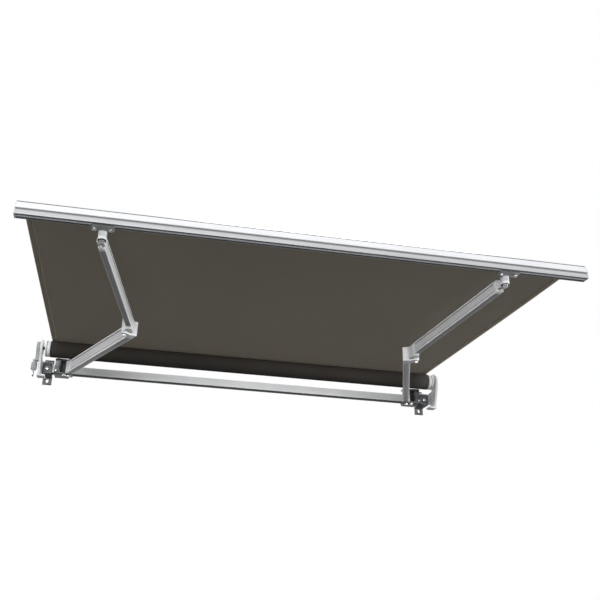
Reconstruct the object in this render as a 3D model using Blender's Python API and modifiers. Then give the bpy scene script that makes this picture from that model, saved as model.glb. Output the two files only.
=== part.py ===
"""Folding-arm fabric awning, extended, built in metres with +Z up.

X runs along the width, the wall is the plane Y = 0 and the front bar stands at -Y.
Z = 0 is the middle height of the square torsion bar that carries everything.
Left is -X, which is the side with the crank gear.
"""
from math import atan2
from math import cos
from math import hypot
from math import pi
from math import sin

import bmesh
import bpy
from mathutils import Matrix
from mathutils import Vector

# Clearances
FIT = 0.0003
PIVOT_CLEARANCE = 0.0004
OPEN_PIVOT_GAP = 0.0006

# Torsion bar
BAR_SIZE = 0.040
BAR_WALL = 0.0025
BAR_HALF_LENGTH = 0.984
BAR_Y = -0.050

# Fabric and roller, which ends short of the brackets by its collars and the axles' play
COLLAR_RADIUS = 0.0385
COLLAR_LENGTH = 0.0240
ROLLER_PLAY = 0.0122
TUBE_PROUD = 0.0010
FABRIC_HALF_WIDTH = BAR_HALF_LENGTH - ROLLER_PLAY - COLLAR_LENGTH - TUBE_PROUD
FABRIC_Z = 0.1105
FABRIC_THICKNESS = 0.0010
ROLL_RADIUS = 0.0404
TUBE_RADIUS = 0.0300
TUBE_WALL = 0.0015
ROLLER_Y = -0.1585
ROLLER_Z = FABRIC_Z - ROLL_RADIUS
AXLE_RADIUS = 0.0080

# Wall brackets
WALL_BRACKET_X = BAR_HALF_LENGTH - 0.0222
WALL_BRACKET_WIDTH = 0.044
WALL_PLATE = 0.010
WALL_TAB_BOTTOM = -0.0655
WALL_TAB_TOP = 0.060
JAW = 0.0120

# Roller brackets
ROLLER_BRACKET_DEPTH = 0.010
ROLLER_BRACKET_WEB = 0.0055
ROLLER_BRACKET_DISC = 0.0425
RIM = 0.0040
ROLLER_TOE_Y = ROLLER_Y + 0.0055
ROLLER_HEEL_Y = ROLLER_TOE_Y + 0.0420
ROLLER_FOOT_IN = BAR_HALF_LENGTH - 0.0240
ROLLER_FOOT_PROUD = 0.0037
ROLLER_FOOT_TOP = -0.0545
ROLLER_FOOT = 0.0095

# Shoulder brackets and shoulder pivot, set in from the bar's ends
SHOULDER = (BAR_HALF_LENGTH - 0.130, BAR_Y - 0.055)
SHOULDER_X_IN = SHOULDER[0] + 0.004
SHOULDER_X_OUT = SHOULDER_X_IN + 0.068
SHOULDER_FRONT_WALL = 0.0137
SHOULDER_LUG = 0.0060
SHOULDER_PLATE_IN = SHOULDER[0] - 0.0160
SHOULDER_PLATE_BACK_Y = -0.0650
SHOULDER_PIN_RADIUS = 0.0070
SHOULDER_EYE_RADIUS = 0.0190

# Upper arm, a tube whose centre line passes beside the two pivots
UPPER_WIDTH = 0.028
UPPER_HEIGHT = 0.060
UPPER_LINE = (SHOULDER[0] - 0.1555, 0.3930, -0.4988)
UPPER_LEVEL = (-0.0190, 0.050, -0.4988)
UPPER_TUBE_FROM_Y = -0.158
UPPER_TUBE_TO_Y = -0.795
UPPER_END_Y = -0.8405
ARM_WALL = 0.0025

# Elbow pivot
ELBOW = (SHOULDER[0] - 0.254, -0.854)
ELBOW_LUG = 0.0060
ELBOW_PIN_RADIUS = 0.0055
ELBOW_EYE_RADIUS = 0.0125

# Forearm, a tube that rises towards the front bar
FOREARM_WIDTH = 0.0225
FOREARM_HEIGHT = 0.047
FOREARM_START = {-1: (ELBOW[0] - 0.0252, -0.8500), 1: (ELBOW[0] - 0.0254, -0.8500)}
FOREARM_TUBE_FROM_Y = ELBOW[1] - 0.054

# Wrist pivot and foot under the front bar
# The feet slide along the bar, so each side stands where it was clamped
FRONT_Y = -1.5225
WRIST_Y = FRONT_Y + 0.0555
WRIST = {-1: (ELBOW[0] + 0.091, WRIST_Y), 1: (ELBOW[0] + 0.078, WRIST_Y)}
WRIST_PIN_RADIUS = 0.0055
WRIST_BARREL_RADIUS = 0.0142
WRIST_EYE_TOP = 0.0300
WRIST_EYE_BOTTOM = 0.0200
FOREARM_TUBE_TO_Y = WRIST_Y + 0.059
FOREARM_PAST_WRIST = {-1: 0.0085, 1: 0.0098}
FOREARM_LINE = {}
for end in (-1, 1):
    start_x, start_y = FOREARM_START[end]
    out = WRIST[end][0] + FOREARM_PAST_WRIST[end] - start_x
    FOREARM_LINE[end] = (start_x, out / (WRIST_Y - start_y), start_y)
FOREARM_RISE = 0.0757
FOREARM_LEVEL = (-0.0369, FOREARM_RISE / (WRIST_Y - FOREARM_START[1][1]), FOREARM_START[1][1])
FOOT_HALF_WIDTH = 0.0375
FOOT_FRONT_Y = FRONT_Y + 0.0105
FOOT_BACK_Y = FRONT_Y + 0.0490
FOOT_PLATE = 0.0038
FOOT_BOLT_OFFSET = 0.0258
FOOT_BOLT_Y = FRONT_Y + 0.0280

# Crank gear
GEAR_BULB_RADIUS = 0.0140
GEAR_BOTTOM = -0.0400
CRANK_SHAFT_RADIUS = 0.0035
CRANK_EYE_Z = -0.0600

# Front bar
FRONT_BACK_Y = FRONT_Y + 0.0345
FRONT_BOTTOM_Z = 0.0520
FRONT_TOP_Z = 0.1145
FRONT_HALF_LENGTH = BAR_HALF_LENGTH - 0.0255
FRONT_CAP = 0.0040
GROOVE_LOW_Z = 0.0705
GROOVE_LOW_WIDTH = 0.0044
GROOVE_HIGH_Z = 0.1000
GROOVE_HIGH_WIDTH = 0.0026
FRONT_CHANNEL = 0.0090
FRONT_CHANNEL_DEPTH = 0.0050
FRONT_WALL = 0.0022

# The front bar turns about the left wrist
BAR_PIVOT = (-WRIST[-1][0], WRIST[-1][1], 0.0)

PARTS = "fabric_awning"
TOOLS = "awning_cutters"


def clear_scene():
    for obj in list(bpy.data.objects):
        bpy.data.objects.remove(obj, do_unlink=True)
    for name in (PARTS, TOOLS):
        if name in bpy.data.collections:
            bpy.data.collections.remove(bpy.data.collections[name])


def make_collection(name):
    found = bpy.data.collections.new(name)
    bpy.context.scene.collection.children.link(found)
    return found


def make_material(name, colour, metallic, roughness):
    mat = bpy.data.materials.new(name)
    mat.use_nodes = True
    shader = mat.node_tree.nodes["Principled BSDF"]
    shader.inputs["Base Color"].default_value = (*colour, 1.0)
    shader.inputs["Metallic"].default_value = metallic
    shader.inputs["Roughness"].default_value = roughness
    mat.diffuse_color = (*colour, 1.0)
    return mat


clear_scene()
PART_SET = make_collection(PARTS)
TOOL_SET = make_collection(TOOLS)

ALUMINIUM = make_material("aluminium", (0.62, 0.63, 0.65), 1.0, 0.35)
BAR_PAINT = make_material("bar_powder_coat", (0.45, 0.46, 0.47), 0.0, 0.5)
WHITE_COAT = make_material("white_powder_coat", (0.80, 0.81, 0.82), 0.0, 0.4)
CASTING = make_material("cast_grey", (0.35, 0.36, 0.37), 0.6, 0.5)
STEEL = make_material("zinc_steel", (0.70, 0.71, 0.72), 1.0, 0.3)
FABRIC = make_material("awning_cloth", (0.080, 0.065, 0.055), 0.0, 0.9)
PLASTIC = make_material("grey_plastic", (0.25, 0.25, 0.26), 0.0, 0.5)


def register(obj, material):
    """Link a part with its material, or a tool that only shapes a part when material is None."""
    if material is None:
        TOOL_SET.objects.link(obj)
        obj.display_type = "WIRE"
        obj.hide_render = True
    else:
        PART_SET.objects.link(obj)
        obj.data.materials.append(material)
    return obj


def from_bmesh(name, mesh_data, material):
    bmesh.ops.recalc_face_normals(mesh_data, faces=mesh_data.faces)
    mesh = bpy.data.meshes.new(name)
    mesh_data.to_mesh(mesh)
    mesh_data.free()
    return register(bpy.data.objects.new(name, mesh), material)


def block(name, low, high, material=None, frame=None):
    """A box between two corners, placed by an optional frame."""
    low = Vector(low)
    high = Vector(high)
    data = bmesh.new()
    bmesh.ops.create_cube(data, size=1.0)
    size = high - low
    bmesh.ops.scale(data, vec=size, verts=data.verts)
    bmesh.ops.translate(data, vec=(low + high) / 2, verts=data.verts)
    if frame is not None:
        bmesh.ops.transform(data, matrix=frame, verts=data.verts)
    return from_bmesh(name, data, material)


def rod(name, radius, start, end, material=None, segments=40, end_radius=None):
    """A round bar or cone between two points."""
    start = Vector(start)
    end = Vector(end)
    run = end - start
    tip = radius if end_radius is None else end_radius
    data = bmesh.new()
    bmesh.ops.create_cone(
        data, cap_ends=True, segments=segments, radius1=radius, radius2=tip, depth=run.length)
    turn = run.to_track_quat("Z", "Y").to_matrix().to_4x4()
    bmesh.ops.transform(
        data, matrix=Matrix.Translation((start + end) / 2) @ turn, verts=data.verts)
    return from_bmesh(name, data, material)


def profile(name, outlines, start, end, frame, material=None):
    """Closed outlines filled and drawn out along the frame's Z from start to end."""
    curve = bpy.data.curves.new(name, "CURVE")
    curve.dimensions = "2D"
    curve.fill_mode = "BOTH"
    curve.extrude = abs(end - start) / 2
    for points in outlines:
        spline = curve.splines.new("POLY")
        spline.points.add(len(points) - 1)
        for slot, (u, v) in zip(spline.points, points):
            slot.co = (u, v, 0.0, 1.0)
        spline.use_cyclic_u = True
    holder = bpy.data.objects.new(name + "_outline", curve)
    mesh = bpy.data.meshes.new_from_object(holder)
    bpy.data.objects.remove(holder, do_unlink=True)
    data = bmesh.new()
    data.from_mesh(mesh)
    bpy.data.meshes.remove(mesh)
    bmesh.ops.remove_doubles(data, verts=data.verts, dist=0.00001)
    bmesh.ops.translate(data, vec=(0.0, 0.0, (start + end) / 2), verts=data.verts)
    bmesh.ops.transform(data, matrix=frame, verts=data.verts)
    return from_bmesh(name, data, material)


def change(obj, tool, operation):
    step = obj.modifiers.new(tool.name, "BOOLEAN")
    step.object = tool
    step.operation = operation
    step.solver = "EXACT"
    return obj


def cut(obj, *tools):
    for tool in tools:
        change(obj, tool, "DIFFERENCE")
    return obj


def add(obj, *tools):
    for tool in tools:
        change(obj, tool, "UNION")
    return obj


def soften(obj, width, segments=2, angle=35):
    step = obj.modifiers.new("edge", "BEVEL")
    step.width = width
    step.segments = segments
    step.limit_method = "ANGLE"
    step.angle_limit = angle * pi / 180
    return obj


def set_origin(obj, point):
    """Move the object's origin without moving its shape."""
    shift = Vector(point)
    obj.data.transform(Matrix.Translation(-shift))
    obj.location = shift
    return obj


def arc(centre, radius, first, last, count):
    """Points on a circle between two angles in degrees."""
    points = []
    for i in range(count + 1):
        a = (first + (last - first) * i / count) * pi / 180
        points.append((centre[0] + radius * cos(a), centre[1] + radius * sin(a)))
    return points


def rounded(width, height, radius, count=4):
    """A rectangle about the origin with round corners."""
    x = width / 2 - radius
    y = height / 2 - radius
    points = []
    for cx, cy, a in ((x, y, 0), (-x, y, 90), (-x, -y, 180), (x, -y, 270)):
        points += arc((cx, cy), radius, a, a + 90, count)
    return points


# Outlines given as (Y, Z) are drawn out along X through this frame
ALONG_X = Matrix(((0, 0, 1, 0), (1, 0, 0, 0), (0, 1, 0, 0), (0, 0, 0, 1)))
# Outlines given as (X, Y) stand upright through this one
UPRIGHT = Matrix.Identity(4)


def sided(side, points):
    """Mirror plan points to the left side when side is -1."""
    return [(side * x, y) for x, y in points]


def line_x(line, y):
    return line[0] + line[1] * (y - line[2])


def arm_frame(line, level, y_from, y_to, side):
    """Frame at the first end of a tube: Z along it, X across it and Y up its section."""
    start = Vector((side * line_x(line, y_from), y_from, line_x(level, y_from)))
    end = Vector((side * line_x(line, y_to), y_to, line_x(level, y_to)))
    along = (end - start).normalized()
    across = Vector((0, 0, 1)).cross(along).normalized()
    up = along.cross(across)
    frame = Matrix((across, up, along)).transposed().to_4x4()
    frame.translation = start
    return frame, (end - start).length


# Torsion bar: a square tube with round corners, open at both ends.
half = BAR_SIZE / 2
bar_frame = Matrix.Translation((0, BAR_Y, 0)) @ ALONG_X
bar_bore = BAR_SIZE - 2 * BAR_WALL
profile(
    "torsion_bar", [rounded(BAR_SIZE, BAR_SIZE, 0.0035), rounded(bar_bore, bar_bore, 0.0015)],
    -BAR_HALF_LENGTH, BAR_HALF_LENGTH, bar_frame, BAR_PAINT)


def build_wall_bracket(side, tag):
    """Back plate with a slotted lower tab and a closed jaw round the torsion bar."""
    low = side * (WALL_BRACKET_X - WALL_BRACKET_WIDTH / 2)
    high = side * (WALL_BRACKET_X + WALL_BRACKET_WIDTH / 2)
    window = half + FIT
    front = BAR_Y - window - JAW
    shape = [
        (0.0, WALL_TAB_BOTTOM), (0.0, WALL_TAB_TOP), (-WALL_PLATE + 0.002, WALL_TAB_TOP),
        (-WALL_PLATE, WALL_TAB_TOP - 0.002), (-WALL_PLATE, window + JAW)]
    shape += arc((front + 0.017, window + JAW - 0.017), 0.017, 90, 180, 6)
    shape += [
        (front, -window - JAW + 0.004), (front + 0.004, -window - JAW), (-WALL_PLATE, -window - JAW),
        (-WALL_PLATE, WALL_TAB_BOTTOM + 0.002), (-WALL_PLATE + 0.002, WALL_TAB_BOTTOM)]
    hole = [
        (BAR_Y - window, -window), (BAR_Y + window, -window), (BAR_Y + window, window),
        (BAR_Y - window, window)]
    obj = profile("wall_bracket_" + tag, [shape, hole], low, high, ALONG_X, CASTING)
    middle = side * WALL_BRACKET_X
    slot = profile(
        "wall_slot_low_" + tag,
        [arc((0, 0.0025), 0.0070, 0, 180, 12) + arc((0, -0.0025), 0.0070, 180, 360, 12)],
        -0.012, 0.002, Matrix.Translation((middle, 0, -0.0470)) @ slot_frame())
    upper = rod("wall_hole_up_" + tag, 0.0055, (middle, -0.014, 0.047), (middle, 0.002, 0.047), None, 24)
    thread = rod(
        "wall_thread_" + tag, 0.0053, (middle, front - 0.002, -0.004),
        (middle, BAR_Y - half + 0.004, -0.004), None, 24)
    cut(obj, slot, upper, thread)
    soften(obj, 0.0012, 2)
    bolt = rod(
        "wall_clamp_bolt_" + tag, 0.0085, (middle, front - 0.0068, -0.004),
        (middle, front - FIT, -0.004), STEEL, 6)
    shank = rod(
        "wall_bolt_shank_" + tag, 0.0050, (middle, front - 0.0030, -0.004),
        (middle, BAR_Y - half - FIT, -0.004), None, 24)
    add(bolt, shank)


def slot_frame():
    """Outlines given as (X, Z) are drawn out along +Y through this frame."""
    return Matrix(((1, 0, 0, 0), (0, 0, 1, 0), (0, 1, 0, 0), (0, 0, 0, 1)))


def roller_outline(inset, plate):
    """Outline of the end casting as (Y, Z), drawn in by an inset for its pocket."""
    low = ROLLER_FOOT_TOP - 0.0035 + inset
    heel = ROLLER_HEEL_Y - inset
    points = arc((ROLLER_Y, ROLLER_Z), ROLLER_BRACKET_DISC - inset, -48, 212, 28)
    points += [(ROLLER_Y - 0.0275 + inset, half + 0.0100), (ROLLER_TOE_Y + inset, low)]
    points += [(heel, low), (heel, -2 * half), (BAR_Y - 0.0400, -plate - 0.0020 + inset)]
    points += [(BAR_Y + plate - 0.0020 - inset, -plate + inset)]
    points += [(BAR_Y + plate - 0.0020 - inset, plate - inset), (BAR_Y - 0.0400, plate + 0.0020 - inset)]
    points += [(ROLLER_Y + 0.0275 - inset, half + 0.0100)]
    return points


def build_roller_bracket(side, tag):
    """Ribbed end casting: a round head at the roller, a leg to the bar end and a flared foot."""
    inner = BAR_HALF_LENGTH + FIT
    outer = inner + ROLLER_BRACKET_DEPTH
    near = [side * inner, side * outer]
    plate = half + 0.0040
    outline = roller_outline(0.0, plate)
    obj = profile("roller_bracket_" + tag, [outline], *near, ALONG_X, WHITE_COAT)
    pocket = roller_outline(RIM, plate)
    recess = profile(
        "roller_bracket_recess_" + tag, [pocket], side * (inner + ROLLER_BRACKET_WEB),
        side * (outer + 0.01), ALONG_X)
    cut(obj, recess)
    boss = rod(
        "roller_boss_" + tag, 0.0165, (side * (inner + 0.002), ROLLER_Y, ROLLER_Z),
        (side * (outer - 0.0006), ROLLER_Y, ROLLER_Z), None, 40)
    rib_top = ROLLER_Z - 0.0150
    rib_low = ROLLER_FOOT_TOP - 0.0015
    rib_shift = ROLLER_TOE_Y + 0.0170 - ROLLER_Y
    rib_outline = [
        (ROLLER_Y - 0.0030, rib_top), (ROLLER_Y + 0.0030, rib_top),
        (ROLLER_Y + rib_shift + 0.0030, rib_low), (ROLLER_Y + rib_shift - 0.0030, rib_low)]
    rib = profile(
        "roller_rib_" + tag, [rib_outline], side * (inner + 0.003), side * (outer - 0.0010), ALONG_X)
    foot_x = sorted((side * ROLLER_FOOT_IN, side * (outer + ROLLER_FOOT_PROUD)))
    foot = block(
        "roller_foot_" + tag, (foot_x[0], ROLLER_TOE_Y - 0.0020, ROLLER_FOOT_TOP - ROLLER_FOOT),
        (foot_x[1], ROLLER_HEEL_Y + 0.0020, ROLLER_FOOT_TOP))
    soften(foot, 0.0020, 2)
    inside = half - BAR_WALL - FIT
    spigot_x = sorted((side * (inner - 0.030), side * (inner + 0.003)))
    spigot = block(
        "roller_spigot_" + tag, (spigot_x[0], BAR_Y - inside, -inside),
        (spigot_x[1], BAR_Y + inside, inside))
    soften(spigot, 0.0018, 2)
    add(obj, boss, rib, foot, spigot)
    bore = rod(
        "roller_bore_" + tag, AXLE_RADIUS + FIT, (side * (inner - 0.004), ROLLER_Y, ROLLER_Z),
        (side * (outer + 0.004), ROLLER_Y, ROLLER_Z), None, 40)
    lock_y = ROLLER_HEEL_Y - 0.0100
    locks = []
    for n, lock_z in (("a", -0.010), ("b", -0.032)):
        locks.append(rod(
            "roller_hole_" + n + "_" + tag, 0.0042, (side * (inner - 0.002), lock_y, lock_z),
            (side * (inner + 0.010), lock_y, lock_z), None, 24))
    cut(obj, bore, *locks)


def build_shoulder(side, tag):
    """Clamp round the torsion bar whose two lugs hold the shoulder pin."""
    window = half + FIT
    back = BAR_Y + window + 0.0097
    front = BAR_Y - window - SHOULDER_FRONT_WALL
    low_z = -0.0355
    eye_low = line_x(UPPER_LEVEL, SHOULDER[1]) - UPPER_HEIGHT / 2
    eye_high = eye_low + UPPER_HEIGHT
    top_z = eye_high + PIVOT_CLEARANCE + SHOULDER_LUG
    block_low = eye_low - PIVOT_CLEARANCE - 0.0015
    ring = [(back, block_low), (back, 0.0285), (front, 0.0285), (front, block_low)]
    hole = [
        (BAR_Y - window, -window), (BAR_Y + window, -window), (BAR_Y + window, window),
        (BAR_Y - window, window)]
    obj = profile(
        "shoulder_bracket_" + tag, [ring, hole], side * SHOULDER_X_IN, side * SHOULDER_X_OUT, ALONG_X,
        CASTING)
    soften(obj, 0.0015, 2)
    tip = arc(SHOULDER, 0.0185, 185, 300, 10)
    tip += [(SHOULDER_X_OUT - 0.014, SHOULDER[1] - 0.023), (SHOULDER_X_OUT - 0.002, SHOULDER[1] - 0.015)]
    low_plan = [
        (SHOULDER_X_OUT - 0.002, SHOULDER_PLATE_BACK_Y), (SHOULDER_PLATE_IN, SHOULDER_PLATE_BACK_Y)] + tip
    top_plan = [(SHOULDER_X_OUT - 0.002, front + 0.004), (SHOULDER_PLATE_IN, front + 0.004)] + tip
    low_lug = profile(
        "shoulder_low_lug_" + tag, [sided(side, low_plan)], low_z, eye_low - PIVOT_CLEARANCE, UPRIGHT)
    top_lug = profile(
        "shoulder_top_lug_" + tag, [sided(side, top_plan)], eye_high + PIVOT_CLEARANCE, top_z, UPRIGHT)
    riser_x = sorted((side * (SHOULDER_X_IN + 0.002), side * (SHOULDER_X_OUT - 0.002)))
    riser = block(
        "shoulder_riser_" + tag, (riser_x[0], front + 0.0004, 0.020), (riser_x[1], front + 0.013, top_z))
    cheek_in = SHOULDER[0] + 0.0430
    cheek_x = sorted((side * cheek_in, side * (SHOULDER_X_OUT - 0.0035)))
    cheek = block(
        "shoulder_cheek_" + tag, (cheek_x[0], SHOULDER[1] - 0.0125, low_z + 0.0015),
        (cheek_x[1], front + 0.0070, top_z - 0.0015))
    add(obj, riser, cheek, low_lug, top_lug)
    hole_tool = rod(
        "shoulder_hole_" + tag, SHOULDER_PIN_RADIUS + FIT,
        (side * SHOULDER[0], SHOULDER[1], low_z - 0.01), (side * SHOULDER[0], SHOULDER[1], top_z + 0.01),
        None, 40)
    screw_x = side * (SHOULDER[0] + 0.0225)
    screw_y = SHOULDER[1] - 0.0080
    screw_hole = rod(
        "adjuster_hole_" + tag, 0.0050 + FIT, (screw_x, screw_y, low_z - 0.01),
        (screw_x, screw_y, -0.0120), None, 32)
    slot_x = sorted((side * (cheek_in - 0.0030), side * (cheek_in + 0.0045)))
    slot_tool = block(
        "cheek_slot_" + tag, (slot_x[0], SHOULDER[1] - 0.0250, -0.016),
        (slot_x[1], SHOULDER[1] - 0.0060, 0.022))
    cut(obj, hole_tool, screw_hole, slot_tool)
    pin = rod(
        "shoulder_pin_" + tag, SHOULDER_PIN_RADIUS, (side * SHOULDER[0], SHOULDER[1], low_z - 0.0030),
        (side * SHOULDER[0], SHOULDER[1], top_z + 0.0060), STEEL, 40)
    head = rod(
        "shoulder_pin_head_" + tag, 0.0100, (side * SHOULDER[0], SHOULDER[1], low_z - 0.0075),
        (side * SHOULDER[0], SHOULDER[1], low_z - FIT), None, 6)
    collar = rod(
        "shoulder_pin_collar_" + tag, 0.0095, (side * SHOULDER[0], SHOULDER[1], top_z + FIT),
        (side * SHOULDER[0], SHOULDER[1], top_z + 0.0040), None, 32)
    add(pin, head, collar)
    screw = rod(
        "shoulder_adjuster_" + tag, 0.0050, (screw_x, screw_y, low_z - 0.0040),
        (screw_x, screw_y, eye_low - PIVOT_CLEARANCE - FIT), STEEL, 32)
    screw_head = rod(
        "adjuster_head_" + tag, 0.0090, (screw_x, screw_y, low_z - 0.0072),
        (screw_x, screw_y, low_z - FIT), None, 6)
    add(screw, screw_head)
    return eye_low, eye_high


def arm_section(width, height):
    """Hollow arm section with raised lips along its edges and a shallow recess on each side."""
    w = width / 2
    h = height / 2
    lip = height * 0.16
    sink = 0.0012
    outer = []
    outer += arc((w - 0.003, h - 0.003), 0.003, 0, 90, 3)
    outer += arc((-w + 0.003, h - 0.003), 0.003, 90, 180, 3)
    outer += [(-w, h - lip), (-w + sink, h - lip - sink), (-w + sink, -h + lip + sink), (-w, -h + lip)]
    outer += arc((-w + 0.003, -h + 0.003), 0.003, 180, 270, 3)
    outer += arc((w - 0.003, -h + 0.003), 0.003, 270, 360, 3)
    outer += [(w, -h + lip), (w - sink, -h + lip + sink), (w - sink, h - lip - sink), (w, h - lip)]
    wall = sink + ARM_WALL
    return [outer, rounded(width - 2 * wall, height - 2 * wall, 0.0015, 2)]


def arm_tenon(name, width, height, frame, start, end):
    """Plug that fills an arm tube's bore with a running fit."""
    wall = 0.0012 + ARM_WALL + FIT
    return profile(name, [rounded(width - 2 * wall, height - 2 * wall, 0.0015, 2)], start, end, frame)


def build_upper_arm(side, tag, eye_low, eye_high):
    """Upper arm tube with a shoulder eye at the bar and an elbow fork at the knee."""
    pivot = (side * SHOULDER[0], SHOULDER[1], 0.0)
    frame, length = arm_frame(UPPER_LINE, UPPER_LEVEL, UPPER_TUBE_FROM_Y, UPPER_TUBE_TO_Y, side)
    tube = profile(
        "upper_arm_tube_" + tag, arm_section(UPPER_WIDTH, UPPER_HEIGHT), 0.0, length, frame, ALUMINIUM)
    set_origin(tube, pivot)

    eye = rod(
        "upper_arm_shoulder_end_" + tag, SHOULDER_EYE_RADIUS, (pivot[0], pivot[1], eye_low),
        (pivot[0], pivot[1], eye_high), ALUMINIUM, 48)
    neck = profile(
        "shoulder_neck_" + tag, [rounded(UPPER_WIDTH, UPPER_HEIGHT - 0.001, 0.003, 3)], -0.046, -FIT,
        frame)
    add(eye, neck, arm_tenon("shoulder_tenon_" + tag, UPPER_WIDTH, UPPER_HEIGHT, frame, -0.004, 0.045))
    reach = sorted((0, side * 1.2))
    behind = SHOULDER[1] + 0.045
    trim_top = block(
        "shoulder_trim_top_" + tag, (reach[0], SHOULDER[1] - 0.095, eye_high), (reach[1], behind, 0.2))
    trim_low = block(
        "shoulder_trim_low_" + tag, (reach[0], SHOULDER[1] - 0.027, -0.2), (reach[1], behind, eye_low))
    back_trim = block(
        "shoulder_trim_back_" + tag, (reach[0], SHOULDER[1] + SHOULDER_EYE_RADIUS, -0.2),
        (reach[1], 0.0, 0.2))
    bore = rod(
        "shoulder_bore_" + tag, SHOULDER_PIN_RADIUS + FIT, (pivot[0], pivot[1], eye_low - 0.02),
        (pivot[0], pivot[1], eye_high + 0.02), None, 40)
    cut(eye, trim_top, trim_low, back_trim, bore)
    set_origin(eye, pivot)

    elbow_level = line_x(UPPER_LEVEL, ELBOW[1])
    fork_low = elbow_level - UPPER_HEIGHT / 2
    fork_high = elbow_level + UPPER_HEIGHT / 2
    run = hypot(UPPER_LINE[1], UPPER_LEVEL[1])
    end_length = length + (UPPER_TUBE_TO_Y - UPPER_END_Y) * hypot(1.0, run)
    fork = profile(
        "upper_arm_elbow_fork_" + tag, [rounded(UPPER_WIDTH, UPPER_HEIGHT - 0.001, 0.003, 3)],
        length + FIT, end_length, frame, ALUMINIUM)
    box_x = line_x(UPPER_LINE, UPPER_END_Y)
    lug = [(box_x + 0.0205, UPPER_END_Y + 0.0355)] + arc(ELBOW, ELBOW_EYE_RADIUS, 22, -140, 18)
    lug += [(box_x + 0.0105, UPPER_END_Y - 0.0020), (box_x + 0.0030, UPPER_END_Y + 0.0100)]
    plan = sided(side, lug)
    low_lug = profile("fork_low_lug_" + tag, [plan], fork_low, fork_low + ELBOW_LUG, UPRIGHT)
    high_lug = profile("fork_high_lug_" + tag, [plan], fork_high - ELBOW_LUG, fork_high, UPRIGHT)
    tenon = arm_tenon("fork_tenon_" + tag, UPPER_WIDTH, UPPER_HEIGHT, frame, length - 0.045, length + 0.004)
    add(fork, tenon, low_lug, high_lug)
    hole = rod(
        "fork_hole_" + tag, ELBOW_PIN_RADIUS + FIT, (side * ELBOW[0], ELBOW[1], fork_low - 0.02),
        (side * ELBOW[0], ELBOW[1], fork_high + 0.02), None, 40)
    cut(fork, hole)
    set_origin(fork, pivot)
    return fork_low, fork_high


def build_elbow_pin(side, tag, fork_low, fork_high):
    """Headed pin through the elbow fork, held by a cap underneath."""
    x = side * ELBOW[0]
    y = ELBOW[1]
    pin = rod(
        "elbow_pin_" + tag, ELBOW_PIN_RADIUS, (x, y, fork_low - 0.0040), (x, y, fork_high + 0.0030),
        STEEL, 40)
    cap = rod("elbow_pin_cap_" + tag, 0.0072, (x, y, fork_low - 0.0080), (x, y, fork_low - FIT), None, 32)
    head = rod(
        "elbow_pin_head_" + tag, 0.0090, (x, y, fork_high + FIT), (x, y, fork_high + 0.0042), None, 32)
    add(pin, cap, head)
    set_origin(pin, (side * SHOULDER[0], SHOULDER[1], 0.0))


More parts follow.
